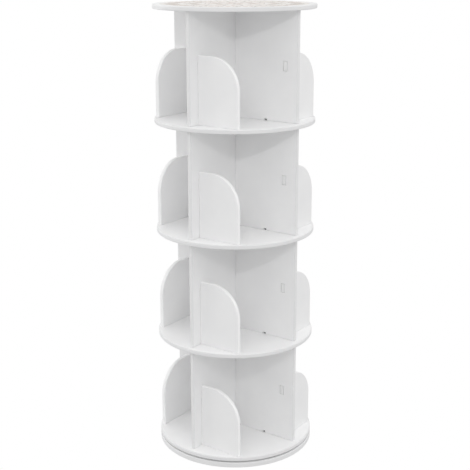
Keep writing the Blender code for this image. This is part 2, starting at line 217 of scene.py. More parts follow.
def carved(name, bm, *steps):
    """The solid in bm after each (operation, tool bmesh) in turn, as one mesh."""
    bench = bpy.context.scene.collection.objects
    work = bpy.data.objects.new(name, mesh_from(name, bm))
    bench.link(work)
    tools = []
    for operation, tool_bm in steps:
        tool = bpy.data.objects.new(f"{name}_tool", mesh_from(f"{name}_tool", tool_bm))
        bench.link(tool)
        tools.append(tool)
        boolean = work.modifiers.new("carve", "BOOLEAN")
        boolean.operation = operation
        boolean.solver = "EXACT"
        boolean.object = tool
    bpy.context.view_layer.update()
    evaluated = work.evaluated_get(bpy.context.evaluated_depsgraph_get())
    mesh = bpy.data.meshes.new_from_object(evaluated)
    for item in (work, *tools):
        bpy.data.objects.remove(item, do_unlink=True)
    mesh.name = name
    mesh.materials.clear()
    return mesh


# Placing

def at(height, quarter=0):
    """The place of a piece of the tower at a height, turned by quarter turns."""
    return Matrix.Translation((0, 0, height)) @ Matrix.Rotation(quarter * math.pi / 2, 4, "Z")


def add_piece(name, mesh, finishes, body, node=None, place=Matrix()):
    """Adds a piece that rides on a body and stands for a node, shaded smooth between its sharp edges."""
    piece = bpy.data.objects.new(name, mesh)
    bpy.context.scene.collection.objects.link(piece)
    piece.matrix_basis = place
    if not mesh.materials:
        for finish in finishes:
            mesh.materials.append(finish)
        for face in mesh.polygons:
            face.use_smooth = True
        mesh.set_sharp_from_angle(angle=SHARP)
    normals = piece.modifiers.new("even_normals", "WEIGHTED_NORMAL")
    normals.keep_sharp = True
    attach(piece, body)
    if node:
        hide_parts(node)
    return piece


# Materials

COPY_SHIFT = (7.3, 4.1, 5.7)  # how far a texture moves, at most, from one copy of a piece to another


def new_material(name, colour, roughness, metallic=0.0):
    material = bpy.data.materials.new(name)
    material.use_nodes = True
    shader = material.node_tree.nodes["Principled BSDF"]
    shader.inputs["Base Color"].default_value = (*colour, 1.0)
    shader.inputs["Roughness"].default_value = roughness
    shader.inputs["Metallic"].default_value = metallic
    return material, material.node_tree, shader


def place_texture(tree, stretch=(1.0, 1.0, 1.0)):
    """Object coordinates, shifted along one line for each object so that copies differ, and stretched."""
    nodes, links = tree.nodes, tree.links
    where = nodes.new("ShaderNodeTexCoord")
    info = nodes.new("ShaderNodeObjectInfo")
    mapping = nodes.new("ShaderNodeMapping")
    mapping.inputs["Scale"].default_value = stretch
    shift = nodes.new("ShaderNodeVectorMath")
    shift.operation = "SCALE"
    shift.inputs[0].default_value = COPY_SHIFT
    links.new(info.outputs["Random"], shift.inputs["Scale"])
    links.new(where.outputs["Object"], mapping.inputs["Vector"])
    links.new(shift.outputs["Vector"], mapping.inputs["Location"])
    return mapping.outputs["Vector"]


def noise(tree, place, scale, detail=3.0, roughness=0.55):
    texture = tree.nodes.new("ShaderNodeTexNoise")
    texture.inputs["Scale"].default_value = scale
    texture.inputs["Detail"].default_value = detail
    texture.inputs["Roughness"].default_value = roughness
    tree.links.new(place, texture.inputs["Vector"])
    return texture.outputs["Fac"]


def ranged(tree, value, low, high, start=0.3, end=0.7):
    span = tree.nodes.new("ShaderNodeMapRange")
    span.inputs["From Min"].default_value = start
    span.inputs["From Max"].default_value = end
    span.inputs["To Min"].default_value = low
    span.inputs["To Max"].default_value = high
    tree.links.new(value, span.inputs["Value"])
    return span.outputs["Result"]


def mixed(tree, factor, colour_a, colour_b):
    """A mix of two colours; by name their sockets can't be told from those for plain numbers."""
    blend = tree.nodes.new("ShaderNodeMix")
    blend.data_type = "RGBA"
    blend.inputs[6].default_value = (*colour_a, 1.0)
    blend.inputs[7].default_value = (*colour_b, 1.0)
    tree.links.new(factor, blend.inputs["Factor"])
    return blend.outputs[2]


def bumped(tree, shader, height, strength, distance):
    bump = tree.nodes.new("ShaderNodeBump")
    bump.inputs["Strength"].default_value = strength
    bump.inputs["Distance"].default_value = distance
    tree.links.new(height, bump.inputs["Height"])
    tree.links.new(bump.outputs["Normal"], shader.inputs["Normal"])


def make_sheet(name, light, dark, rough_low, rough_high, stretch=(1.0, 1.0, 1.0)):
    """Satin plastic: faint cloudiness, uneven gloss and a fine moulded skin."""
    material, tree, shader = new_material(name, light, rough_low)
    place = place_texture(tree, stretch)
    cloud = noise(tree, place, scale=9.0, detail=6.0, roughness=0.6)
    tree.links.new(mixed(tree, ranged(tree, cloud, 0.0, 1.0), light, dark), shader.inputs["Base Color"])
    gloss = noise(tree, place, scale=45.0, detail=4.0)
    tree.links.new(ranged(tree, gloss, rough_low, rough_high), shader.inputs["Roughness"])
    bumped(tree, shader, noise(tree, place, scale=700.0), strength=0.35, distance=0.0001)
    return material


def make_metal(name, colour, rough_low, rough_high, scale, stretch):
    """Metal with fine lines along its turning or drawing marks."""
    material, tree, shader = new_material(name, colour, rough_low, 1.0)
    place = place_texture(tree, stretch)
    line = noise(tree, place, scale)
    tree.links.new(ranged(tree, line, rough_low, rough_high), shader.inputs["Roughness"])
    bumped(tree, shader, line, strength=0.2, distance=0.00003)
    return material


def make_print(name, light, dark, scale, roughness):
    """A printed, slightly chalky colour of the ornament."""
    material, tree, shader = new_material(name, light, roughness)
    place = place_texture(tree)
    patch = noise(tree, place, scale, detail=5.0, roughness=0.65)
    tree.links.new(mixed(tree, ranged(tree, patch, 0.0, 1.0), light, dark), shader.inputs["Base Color"])
    grain = noise(tree, place, scale=1500.0, detail=2.0)
    tree.links.new(ranged(tree, grain, roughness - 0.06, roughness + 0.10), shader.inputs["Roughness"])
    bumped(tree, shader, grain, strength=0.2, distance=0.00004)
    return material


WHITE = make_sheet("white_sheet", (0.918, 0.918, 0.918), (0.880, 0.880, 0.884), 0.34, 0.48)
# painted shade: the arch plates' faces are a darker copy of the white board
SHADED_ARCH_WHITE = make_sheet("white_arch_painted_shade", (0.892, 0.892, 0.892), (0.855, 0.855, 0.859), 0.34, 0.48)
# painted highlight: the arch plates' rounded edges are a lighter copy of the white board
HIGHLIT_EDGE_WHITE = make_sheet("white_edge_painted_highlight", (0.945, 0.945, 0.945), (0.917, 0.917, 0.919), 0.32, 0.44, (1.0, 1.0, 6.0))
# painted shade: disc rims and divider ends are a darker copy of the white board
SHADED_RIM_WHITE = make_sheet("white_rim_painted_shade", (0.81, 0.81, 0.81), (0.775, 0.775, 0.78), 0.42, 0.56, (1.0, 1.0, 6.0))
SCREW = make_metal("dark_screw", (0.16, 0.16, 0.165), 0.32, 0.50, 600.0, (1.0, 1.0, 1.0))
ALUMINIUM = make_metal("turned_aluminium", (0.78, 0.79, 0.80), 0.26, 0.42, 900.0, (0.05, 0.05, 1.0))
BALL_STEEL = make_metal("ball_steel", (0.60, 0.60, 0.61), 0.10, 0.18, 300.0, (1.0, 1.0, 1.0))
CAGE_PLASTIC = make_sheet("cage_plastic", (0.035, 0.035, 0.038), (0.028, 0.028, 0.03), 0.38, 0.50)
CREAM = make_print("cream_field", (0.87, 0.84, 0.81), (0.81, 0.77, 0.735), 30.0, 0.46)
ROSE = make_print("rose_petal", (0.73, 0.65, 0.61), (0.66, 0.575, 0.54), 60.0, 0.50)
SAND = make_print("sand_leaf", (0.70, 0.66, 0.62), (0.62, 0.575, 0.54), 60.0, 0.50)
GREY = make_print("warm_grey", (0.56, 0.535, 0.51), (0.49, 0.465, 0.445), 60.0, 0.50)
CHALK = make_print("chalk_line", (0.88, 0.87, 0.855), (0.83, 0.815, 0.795), 40.0, 0.48)
PRINTS = (CREAM, ROSE, SAND, GREY, CHALK)


# Discs

def rim(low, high):
    """The rounded rim of a disc, top to bottom, between its two flat strips."""
    inner = RADIUS - RIM_ROUND
    upper = corner_arc(inner, high - RIM_ROUND, RIM_ROUND, 90)
    lower = corner_arc(inner, low + RIM_ROUND, RIM_ROUND, 0)
    return [(inner - RIM_LEAD, high), *upper, *lower, (inner - RIM_LEAD, low)]


def trench(floor, face):
    """The profile of the bearing's seat in a disc's face, from its inner to its outer wall."""
    return [(SEAT_INNER, face), (SEAT_INNER, floor), (SEAT_OUTER, floor), (SEAT_OUTER, face)]


def screw_holes(circle, low, high, radius, turn=0.0):
    """Rods in the places of the four screws on a circle."""
    bm = bmesh.new()
    for quarter in range(4):
        angle = turn + quarter * math.pi / 2
        add_rod(bm, circle * math.cos(angle), circle * math.sin(angle), low, high, radius)
    return bm


def tab_slots(bm, low, high):
    """Boxes that cut the slots for the dividers' tabs."""
    half, wide = TAB_LENGTH / 2 + FIT, BOARD / 2 + FIT
    for quarter in range(4):
        add_turned_box(bm, (TAB_MIDDLE - half, -wide, low), (TAB_MIDDLE + half, wide, high), quarter)


def foot_slots(bm, low, high):
    """Boxes that cut the slots for the foot tenons of the arch plates."""
    start = ARCH_START + FOOT_TENON_START - FIT
    end = start + FOOT_TENON_LENGTH + 2 * FIT
    wide = BOARD / 2 + FIT
    for quarter in range(4):
        add_turned_box(bm, (ARCH_MIDDLE - wide, start, low), (ARCH_MIDDLE + wide, end, high), quarter)


def paint_rim_shade(mesh):
    """Gives the rim of a disc the second finish: a darker white, painted shade on its side."""
    for face in mesh.polygons:
        if face.center.xy.length > RADIUS - RIM_ROUND:
            face.material_index = 1


def make_base():
    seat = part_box("bearing_outer_ring")[0].z - FIT
    profile = [(0.0, BASE_TOP), *trench(seat, BASE_TOP), *rim(0.0, BASE_TOP), (0.0, 0.0)]
    sink = HEAD_HEIGHT + 2 * FIT
    through = screw_holes(BASE_SCREW_CIRCLE, -BOARD, BOARD + BASE_TOP, SHANK_RADIUS + FIT, BASE_SCREW_TURN)
    counterbore = screw_holes(BASE_SCREW_CIRCLE, -BOARD, sink, HEAD_RADIUS + FIT, BASE_SCREW_TURN)
    mesh = carved("base_disc_smooth", turned(profile), ("DIFFERENCE", through), ("DIFFERENCE", counterbore))
    add_piece("base_disc_smooth", mesh, (WHITE, SHADED_RIM_WHITE), "base", "base_disc")
    paint_rim_shade(mesh)


def make_lowest_shelf():
    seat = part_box("bearing_inner_ring")[1].z + FIT - FIRST_SHELF
    profile = [(0.0, BOARD), *rim(0.0, BOARD), *reversed(trench(seat, 0.0)), (0.0, 0.0)]
    slots = bmesh.new()
    tab_slots(slots, BOARD - TAB_DEPTH - FIT, 2 * BOARD)
    foot_slots(slots, BOARD - TAB_DEPTH - FIT, 2 * BOARD)
    holes = screw_holes(SCREW_CIRCLE, -BOARD, 2 * BOARD, SHANK_RADIUS + FIT)
    mesh = carved("shelf_disc_1_smooth", turned(profile), ("DIFFERENCE", slots), ("DIFFERENCE", holes))
    place = at(FIRST_SHELF)
    add_piece("shelf_disc_1_smooth", mesh, (WHITE, SHADED_RIM_WHITE), "tower", "shelf_disc_1", place)
    paint_rim_shade(mesh)


def make_upper_shelves():
    slots = bmesh.new()
    tab_slots(slots, -BOARD, 2 * BOARD)
    foot_slots(slots, BOARD - TAB_DEPTH - FIT, 2 * BOARD)
    holes = screw_holes(SCREW_CIRCLE, -BOARD, 2 * BOARD, SHANK_RADIUS + FIT)
    profile = [(0.0, BOARD), *rim(0.0, BOARD), (0.0, 0.0)]
    mesh = carved("shelf_disc_smooth", turned(profile), ("DIFFERENCE", slots), ("DIFFERENCE", holes))
    for number in range(2, TIERS + 1):
        name = f"shelf_disc_{number}"
        place = at(FIRST_SHELF + (number - 1) * PITCH)
        add_piece(f"{name}_smooth", mesh, (WHITE, SHADED_RIM_WHITE), "tower", name, place)
    paint_rim_shade(mesh)


def make_top():
    """The top disc with the pocket that its panel lies in."""
    pocket = BOARD - PANEL_THICKNESS - FIT
    edge = PANEL_RADIUS + FIT
    lip = [(edge, pocket), (edge, BOARD - FIT), (edge + FIT, BOARD)]
    profile = [(0.0, pocket), *lip, *rim(0.0, BOARD), (0.0, 0.0)]
    slots = bmesh.new()
    tab_slots(slots, -BOARD, TAB_DEPTH + FIT)
    holes = screw_holes(SCREW_CIRCLE, -BOARD, 2 * BOARD, SHANK_RADIUS + FIT)
    sinks = screw_holes(SCREW_CIRCLE, pocket - HEAD_HEIGHT - 2 * FIT, 2 * BOARD, HEAD_RADIUS + FIT)
    steps = [("DIFFERENCE", tool) for tool in (slots, holes, sinks)]
    mesh = carved("top_disc_smooth", turned(profile), *steps)
    place = at(TOP - BOARD)
    add_piece("top_disc_smooth", mesh, (WHITE, SHADED_RIM_WHITE), "tower", "top_disc", place)
    paint_rim_shade(mesh)


# Dividers

def divider_blank(height):
    """A board along X with rounded ends and eased long edges."""
    bm = bmesh.new()
    add_box(bm, (-DIVIDER_REACH, -BOARD / 2, 0.0), (DIVIDER_REACH, BOARD / 2, height))
    upright = [e for e in bm.edges if abs(e.verts[0].co.z - e.verts[1].co.z) > height / 2]
    bmesh.ops.bevel(bm, geom=upright, offset=END_ROUND, segments=CORNER_STEPS, profile=0.5, affect="EDGES")
    level = [e for e in bm.edges if abs(e.verts[0].co.z - e.verts[1].co.z) < MERGE]
    bmesh.ops.bevel(bm, geom=level, offset=EASED_EDGE, segments=3, profile=0.5, affect="EDGES")
    return bm


def divider_tabs(height):
    """Tabs above and below, which run a little way into the board."""
    bm = bmesh.new()
    for side in (-1, 1):
        low, high = side * TAB_MIDDLE - TAB_LENGTH / 2, side * TAB_MIDDLE + TAB_LENGTH / 2
        add_box(bm, (low, -BOARD / 2, -TAB_DEPTH), (high, BOARD / 2, 2 * TAB_DEPTH))
        add_box(bm, (low, -BOARD / 2, height - 2 * TAB_DEPTH), (high, BOARD / 2, height + TAB_DEPTH))
    return bm


def slot_mouths(x, low, high):
    """Blocks with two slanting sides, which break a tenon slot's outer and upper edges at both faces."""
    bm = bmesh.new()
    half = BOARD / 2 + FIT
    outwards = math.copysign(1.0, x)
    for side in (-1, 1):
        rings = []
        for reach, depth in ((0.0, -MOUTH_DEPTH), (2 * MOUTH_REACH, MOUTH_DEPTH)):
            inner, outer = x - outwards * half, x + outwards * (half + reach)
            y = side * (BOARD / 2 + depth)
            corners = ((inner, low), (outer, low), (outer, high + reach), (inner, high + reach))
            rings.append([bm.verts.new((a, y, b)) for a, b in corners])
        deep, wide = rings
        bm.faces.new(deep)
        bm.faces.new(wide)
        for i in range(4):
            bm.faces.new((deep[i], deep[i - 1], wide[i - 1], wide[i]))
    return bm


def make_divider_mesh(name, lap_from_top):
    """A board with its half lap, screw notches, tenon slots and pilot holes."""
    height = CLEAR_HEIGHT - 2 * FIT
    half = BOARD / 2 + FIT
    lap_end = height / 2 + (-FIT if lap_from_top else FIT) / 2
    lap = (lap_end, height + BOARD) if lap_from_top else (-BOARD, lap_end)
    cuts = bmesh.new()
    add_box(cuts, (-half, -BOARD, lap[0]), (half, BOARD, lap[1]))
    tenon_low = TENON_MIDDLE - TENON_HEIGHT / 2 - FIT
    tenon_high = TENON_MIDDLE + TENON_HEIGHT / 2 + FIT
    steps = [("UNION", divider_tabs(height)), ("DIFFERENCE", cuts)]
    for side in (-1, 1):
        screw = side * SCREW_CIRCLE
        notch = NOTCH_WIDTH / 2
        add_box(cuts, (screw - notch, -BOARD, -BOARD), (screw + notch, BOARD, NOTCH_HEIGHT))
        add_rod(cuts, screw, 0.0, height - PILOT_DEPTH, height + BOARD, SHANK_RADIUS + FIT)
        tenon = side * ARCH_MIDDLE
        add_box(cuts, (tenon - half, -BOARD, tenon_low), (tenon + half, BOARD, tenon_high))
        steps.append(("DIFFERENCE", slot_mouths(tenon, tenon_low, tenon_high)))
    return carved(name, divider_blank(height), *steps)


def paint_end_shade(mesh):
    """Gives the rounded ends of a divider the second finish: a darker white, painted shade."""
    for face in mesh.polygons:
        if abs(face.center.x) > DIVIDER_REACH - END_ROUND:
            face.material_index = 1


def make_dividers():
    for kind, quarter in (("lower", 0), ("upper", 1)):
        mesh = make_divider_mesh(f"divider_{kind}_smooth", kind == "lower")
        for tier in range(1, TIERS + 1):
            name = f"divider_{kind}_{tier}"
            place = at(FLOOR + FIT + (tier - 1) * PITCH, quarter)
            add_piece(f"{name}_smooth", mesh, (WHITE, SHADED_RIM_WHITE), "tower", name, place)
        paint_end_shade(mesh)


# Arch plates

def arch_outline():
    """The plate's outline, with its margins past its foot and past its edge at the divider."""
    across, up = ARCH_LENGTH - ARCH_RADIUS, ARCH_HEIGHT - ARCH_RADIUS
    angles = [math.pi / 2 * i / ARCH_STEPS for i in range(ARCH_STEPS + 1)]
    arc = [(across + ARCH_RADIUS * math.cos(a), up + ARCH_RADIUS * math.sin(a)) for a in angles]
    return [(-SIDE_MARGIN, -MARGIN), (ARCH_LENGTH, -MARGIN), *arc, (-SIDE_MARGIN, ARCH_HEIGHT)]


def arch_blank():
    """The plate as a filled outline with rounded edges, stood against the +X divider."""
    curve = bpy.data.curves.new("arch", "CURVE")
    curve.dimensions = "2D"
    curve.fill_mode = "BOTH"
    curve.extrude = BOARD / 2 - EDGE_ROUND
    curve.bevel_depth = EDGE_ROUND
    curve.bevel_resolution = CORNER_STEPS - 2
    curve.offset = -EDGE_ROUND
    outline = arch_outline()
    spline = curve.splines.new("POLY")
    spline.points.add(len(outline) - 1)
    for point, (x, y) in zip(spline.points, outline):
        point.co = (x, y, 0.0, 1.0)
    spline.use_cyclic_u = True
    carrier = bpy.data.objects.new("arch", curve)
    bpy.context.scene.collection.objects.link(carrier)
    evaluated = carrier.evaluated_get(bpy.context.evaluated_depsgraph_get())
    bm = bmesh.new()
    bm.from_mesh(bpy.data.meshes.new_from_object(evaluated))
    bpy.data.objects.remove(carrier, do_unlink=True)
    bmesh.ops.remove_doubles(bm, verts=bm.verts, dist=MERGE)
    bm.transform(Matrix(((0, 0, 1, ARCH_MIDDLE), (1, 0, 0, ARCH_START), (0, 1, 0, FIT), (0, 0, 0, 1))))
    return bm


def arch_trims():
    """Cuts off the margins, so that the foot is square and the edge at the divider nearly so."""
    near, far = ARCH_MIDDLE - BOARD, ARCH_MIDDLE + BOARD
    start, foot = ARCH_START - 2 * MARGIN, FIT - 2 * MARGIN
    below, behind = bmesh.new(), bmesh.new()
    add_box(below, (near, start, foot), (far, ARCH_HIGH.y + MARGIN, FIT))
    add_box(behind, (near, start, foot), (far, ARCH_START, ARCH_HEIGHT + MARGIN))
    return [("DIFFERENCE", below), ("DIFFERENCE", behind)]


def arch_tenons():
    """The foot tenon, and the one through the divider with its end's edges broken."""
    near, far = ARCH_MIDDLE - BOARD / 2, ARCH_MIDDLE + BOARD / 2
    low = FIT + TENON_MIDDLE - TENON_HEIGHT / 2
    root = ARCH_START + MARGIN
    bm = bmesh.new()
    add_box(bm, (near + TENON_PLAY, -BOARD / 2, low + TENON_PLAY), (far, root, low + TENON_HEIGHT))
    end = [e for e in bm.edges if all(v.co.y < 0.0 for v in e.verts)]
    bmesh.ops.bevel(bm, geom=end, offset=TENON_CHAMFER, segments=2, profile=0.5, affect="EDGES")
    start = ARCH_START + FOOT_TENON_START
    add_box(bm, (near, start, -TAB_DEPTH), (far, start + FOOT_TENON_LENGTH, EDGE_ROUND))
    return [("UNION", bm)]


def paint_arch_edge_highlight(mesh):
    """Gives the rounded edge all round the plate the second finish: a lighter white, a painted highlight.
    """
    inner = BOARD / 2 - EDGE_ROUND / 4
    for face in mesh.polygons:
        if abs(face.center.x - ARCH_MIDDLE) < inner and face.center.y > ARCH_START + EDGE_ROUND:
            face.material_index = 1


def make_arches():
    mesh = carved("arch_plate_smooth", arch_blank(), *arch_trims(), *arch_tenons())
    for tier in range(1, TIERS + 1):
        for quarter, side in enumerate(QUARTERS):
            name = f"arch_plate_{tier}_{side}"
            place = at(FLOOR + (tier - 1) * PITCH, quarter)
            add_piece(f"{name}_smooth", mesh, (SHADED_ARCH_WHITE, HIGHLIT_EDGE_WHITE), "tower", name, place)
    paint_arch_edge_highlight(mesh)


# Screws

def screw_mesh(name, length):
    """A low pan-head screw, point down, its head's underside at zero, with a cross recess."""
    crown = HEAD_HEIGHT * HEAD_CROWN
    head = corner_arc(HEAD_RADIUS - crown, HEAD_HEIGHT - crown, crown, 90)
    point = 2 * SHANK_RADIUS
    shank = [(SHANK_RADIUS, 0.0), (SHANK_RADIUS, point - length), (0.0, -length)]
    profile = [(0.0, HEAD_HEIGHT), *head, (HEAD_RADIUS, 0.0), *shank]
    floor = HEAD_HEIGHT - RECESS_DEPTH
    tools = [bmesh.new() for _ in range(3)]
    for tool, x, y in zip(tools, (RECESS_ARM, RECESS_WIDTH / 2), (RECESS_WIDTH / 2, RECESS_ARM)):
        add_box(tool, (-x, -y, floor), (x, y, 2 * HEAD_HEIGHT))
    add_rod(tools[2], 0.0, 0.0, floor - RECESS_WIDTH / 2, HEAD_HEIGHT, RECESS_WIDTH / 3, RECESS_ARM / 2, 16)
    return carved(name, turned(profile, SCREW_STEPS), *[("DIFFERENCE", tool) for tool in tools])


def add_screw(mesh, node, body, head_down=False):
    """A screw in its node's place, its recess left at an angle that differs from screw to screw."""
    low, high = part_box(node)
    seat = low.z + HEAD_HEIGHT if head_down else high.z - HEAD_HEIGHT
    place = Matrix.Translation(((low.x + high.x) / 2, (low.y + high.y) / 2, seat))
    driven = Matrix.Rotation(place.translation.x * 40 + seat * 9, 4, "Z")
    over = Matrix.Rotation(math.pi if head_down else 0.0, 4, "X")
    add_piece(f"{node}_smooth", mesh, (SCREW,), body, node, place @ driven @ over)


def screw_length(node):
    low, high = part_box(node)
    return high.z - low.z - HEAD_HEIGHT


def make_screws():
    meshes = {}
    for row in ("shelf_1", "shelf_2", "shelf_3", "shelf_4", "top"):
        length = round(screw_length(f"{row}_screw_right"), 5)
        if length not in meshes:
            meshes[length] = screw_mesh(f"screw_{len(meshes) + 1}", length)
        for side in QUARTERS:
            add_screw(meshes[length], f"{row}_screw_{side}", "tower")
    base = screw_mesh("base_screw", screw_length("base_screw_1"))
    for number in range(1, 5):
        add_screw(base, f"base_screw_{number}", "base", head_down=True)


# Bearing

def race(side):
    """Points of a race, downwards, on the outer side (1) or inner side (-1) of the ball circle."""
    reach = math.acos(RACE_GAP / 2 / RACE_RADIUS)
    angles = [reach - 2 * reach * i / RACE_STEPS for i in range(RACE_STEPS + 1)]
    away = side * RACE_RADIUS
    return [(BALL_CIRCLE + away * math.cos(a), RACE_HEIGHT + RACE_RADIUS * math.sin(a)) for a in angles]


def inner_ring_profile():
    """The ring that carries the tower, with its race outside and its inner corners broken."""
    low, high, outer = INNER_RING[0].z, INNER_RING[1].z, INNER_RING[1].x
    inner = outer - RING_WIDTH
    upper = [(inner, high - RING_NICK), (inner + RING_NICK, high), (outer, high)]
    return [*upper, *race(-1), (outer, low), (inner + RING_NICK, low), (inner, low + RING_NICK)]


def outer_ring_profile():
    """The ring that stays still, with its race inside and its outer corners broken."""
    low, high, outer = OUTER_RING[0].z, OUTER_RING[1].z, OUTER_RING[1].x
    inner = outer - RING_WIDTH
    upper = [(outer - RING_NICK, high), (outer, high - RING_NICK)]
    lower = [(outer, low + RING_NICK), (outer - RING_NICK, low), (inner, low)]
    return [*upper, *lower, *reversed(race(1)), (inner, high)]


def make_ring(node, profile, circle, turn, body):
    holes = screw_holes(circle, 0.0, FLOOR, SHANK_RADIUS + FIT, turn)
    mesh = carved(f"{node}_smooth", turned(profile, RING_STEPS, closed=True), ("DIFFERENCE", holes))
    add_piece(f"{node}_smooth", mesh, (ALUMINIUM,), body, node)


def make_bearing():
    make_ring("bearing_inner_ring", inner_ring_profile(), SCREW_CIRCLE, 0.0, "tower")
    make_ring("bearing_outer_ring", outer_ring_profile(), BASE_SCREW_CIRCLE, BASE_SCREW_TURN, "base")


def make_cage():
    """The cage ring, with a pocket round each ball."""
    inner, outer = BALL_CIRCLE - CAGE_THICKNESS / 2, BALL_CIRCLE + CAGE_THICKNESS / 2
    low, high = RACE_HEIGHT - CAGE_HEIGHT / 2, RACE_HEIGHT + CAGE_HEIGHT / 2
    pockets, balls = bmesh.new(), bmesh.new()
    for i in range(BALLS):
        turn = Matrix.Rotation(2 * math.pi * i / BALLS, 4, "Z")
        place = turn @ Matrix.Translation((BALL_CIRCLE, 0, RACE_HEIGHT))
        for bm, radius in ((pockets, BALL_RADIUS + POCKET_ROOM), (balls, BALL_RADIUS)):
            bmesh.ops.create_uvsphere(bm, u_segments=20, v_segments=12, radius=radius, matrix=place)
    ring = turned([(inner, high), (outer, high), (outer, low), (inner, low)], RING_STEPS, closed=True)
    mesh = carved("ball_cage_smooth", ring, ("DIFFERENCE", pockets))
    add_piece("ball_cage_smooth", mesh, (CAGE_PLASTIC,), "cage", "ball_cage")
    add_piece("bearing_balls", mesh_from("bearing_balls", balls), (BALL_STEEL,), "cage")


# Ornament

def paint(faces, colour):
    for face in faces:
        face.material_index = PRINTS.index(colour)


def turn_and_place(angle, radius, tilt=0.0):
    outwards = Matrix.Translation((radius, 0, 0))
    return Matrix.Rotation(angle, 4, "Z") @ outwards @ Matrix.Rotation(tilt, 4, "Z")


def add_leaf(bm, place, length, width, bend, colour, across=6, along=12):
    """A domed leaf from the origin along +X, fuller towards its root, its outline sunk in the field."""
    rows = []
    for i in range(along + 1):
        u = i / along
        half = width / 2 * math.sin(math.pi * u ** 0.8) ** 0.9
        rise = min(1.0, 3.2 * u, 3.2 * (1 - u))
        middle = bend * math.sin(math.pi * u)
        row = []
        for j in range(across + 1):
            v = 2 * j / across - 1
            lift = PANEL_RELIEF * (1 - v * v) * rise - LEAF_SINK
            row.append(bm.verts.new(place @ Vector((length * u, middle + half * v, lift))))
        rows.append(row)
    for a, b in zip(rows, rows[1:]):
        paint([bm.faces.new((a[j], b[j], b[j + 1], a[j + 1])) for j in range(across)], colour)


def add_leaves(bm, colour, count, radius, length, width, phase=0.0, tilt=0.0, bend=0.0):
    """A ring of leaves that point outwards from a radius, turned on by a share of their spacing."""
    for i in range(count):
        angle = 2 * math.pi * (i + phase) / count
        add_leaf(bm, turn_and_place(angle, radius, tilt), length, width, bend, colour)


def add_beads(bm, colour, count, radius, size, phase=0.0):
    for i in range(count):
        place = turn_and_place(2 * math.pi * (i + phase) / count, radius)
        flat = Matrix.Diagonal((size, size, PANEL_RELIEF, 1.0))
        before = set(bm.faces)
        bmesh.ops.create_uvsphere(bm, u_segments=12, v_segments=6, radius=1.0, matrix=place @ flat)
        paint(set(bm.faces) - before, colour)


def add_ridge(bm, colour, radius, width):
    """A raised round line."""
    angles = [math.pi * i / 6 for i in range(7)]
    arc = [(radius + width / 2 * math.cos(a), PANEL_RELIEF * math.sin(a)) for a in angles]
    mesh = mesh_from("ridge", turned(arc, RING_STEPS))
    before = set(bm.faces)
    bm.from_mesh(mesh)
    bpy.data.meshes.remove(mesh)
    paint(set(bm.faces) - before, colour)


def make_panel():
    """The printed field of the ornament and its raised border."""
    field = PANEL_THICKNESS - PANEL_RELIEF
    border = PANEL_RADIUS - BORDER_WIDTH
    slope = [(border, field), (border + BORDER_SLOPE, PANEL_THICKNESS)]
    profile = [(0.0, field), *slope, (PANEL_RADIUS, PANEL_THICKNESS), (PANEL_RADIUS, 0.0), (0.0, 0.0)]
    name = "ornament_panel"
    mesh = mesh_from(f"{name}_smooth", turned(profile))
    add_piece(f"{name}_smooth", mesh, (CREAM, CHALK), "tower", name, at(TOP - PANEL_THICKNESS))
    for face in mesh.polygons:
        if face.center.xy.length > border:
            face.material_index = 1


def make_ornament():
    """A traditional rosette: petals, paired scroll leaves and beads between raised rings."""
    bm = bmesh.new()
    add_ridge(bm, CHALK, radius=0.034, width=0.003)
    add_ridge(bm, CHALK, radius=0.092, width=0.003)
    add_ridge(bm, CHALK, radius=0.150, width=0.0035)
    # Middle
    add_leaves(bm, ROSE, 8, radius=0.006, length=0.026, width=0.012)
    # Inner ring
    add_leaves(bm, SAND, 16, radius=0.038, length=0.028, width=0.011, phase=0.5)
    add_leaves(bm, ROSE, 8, radius=0.040, length=0.049, width=0.018)
    add_leaves(bm, CHALK, 8, radius=0.044, length=0.034, width=0.008)
    # Middle ring
    add_leaves(bm, ROSE, 16, radius=0.097, length=0.034, width=0.014, phase=0.5)
    add_leaves(bm, GREY, 16, radius=0.100, length=0.046, width=0.009)
    # Outer ring
    add_leaves(bm, ROSE, 24, radius=0.156, length=0.040, width=0.015)
    add_leaves(bm, SAND, 24, radius=0.158, length=0.034, width=0.010, phase=0.42, tilt=0.34, bend=0.006)
    add_leaves(bm, SAND, 24, radius=0.158, length=0.034, width=0.010, phase=0.58, tilt=-0.34, bend=-0.006)
    add_leaves(bm, GREY, 24, radius=0.176, length=0.024, width=0.008, phase=0.5)
    # Beads
    add_beads(bm, GREY, 16, radius=0.084, size=0.0026)
    add_beads(bm, SAND, 16, radius=0.141, size=0.003, phase=0.5)
    add_beads(bm, GREY, 24, radius=0.160, size=0.0028, phase=0.5)
    add_beads(bm, GREY, 1, radius=0.0, size=0.005)
    relief = mesh_from("ornament_relief", bm)
    add_piece("ornament_relief", relief, PRINTS, "tower", place=at(TOP - PANEL_RELIEF))


# Stage

CAMERA_TURN = math.radians(35.694)     # how far the tower is turned from square to the camera
CAMERA_DISTANCE = 2.8510               # from the axis, measured level
CAMERA_HEIGHT = 1.4316
CAMERA_PITCH = math.radians(14.543)
CAMERA_ROLL = math.radians(-0.121)
FOCAL_PIXELS = 1002.4                  # focal length in pixels of the 470-pixel frame
FRAME_PIXELS = 470
CENTRE_X, CENTRE_Y = 235.07, 216.0     # where the camera's axis meets the picture
SENSOR = 36.0
ROOM_RADIUS = 30.0
KEY_TURN = math.radians(36)
KEY_DISTANCE = 3.0                     # from the axis, measured level
KEY_HEIGHT = 2.4
KEY_AIM = 0.9
KEY_SIZE = 0.08
KEY_POWER = 9.7
SKY_LIGHT = 0.04
GROUND_LIGHT = 0.65
HORIZON = -0.055                       # where the sky gives way to the floor, as the sine of its rise
HORIZON_BLUR = 0.01
PANEL_FOCUS = 3.0                      # how narrow a soft panel's glow is
# Soft panels: degrees round from the camera, degrees up, strength
SOFT_PANELS = ((0, 40, 1.27), (60, 65, 0.45), (120, 40, 0.42), (120, 5, 1.17), (-120, 5, 2.42))


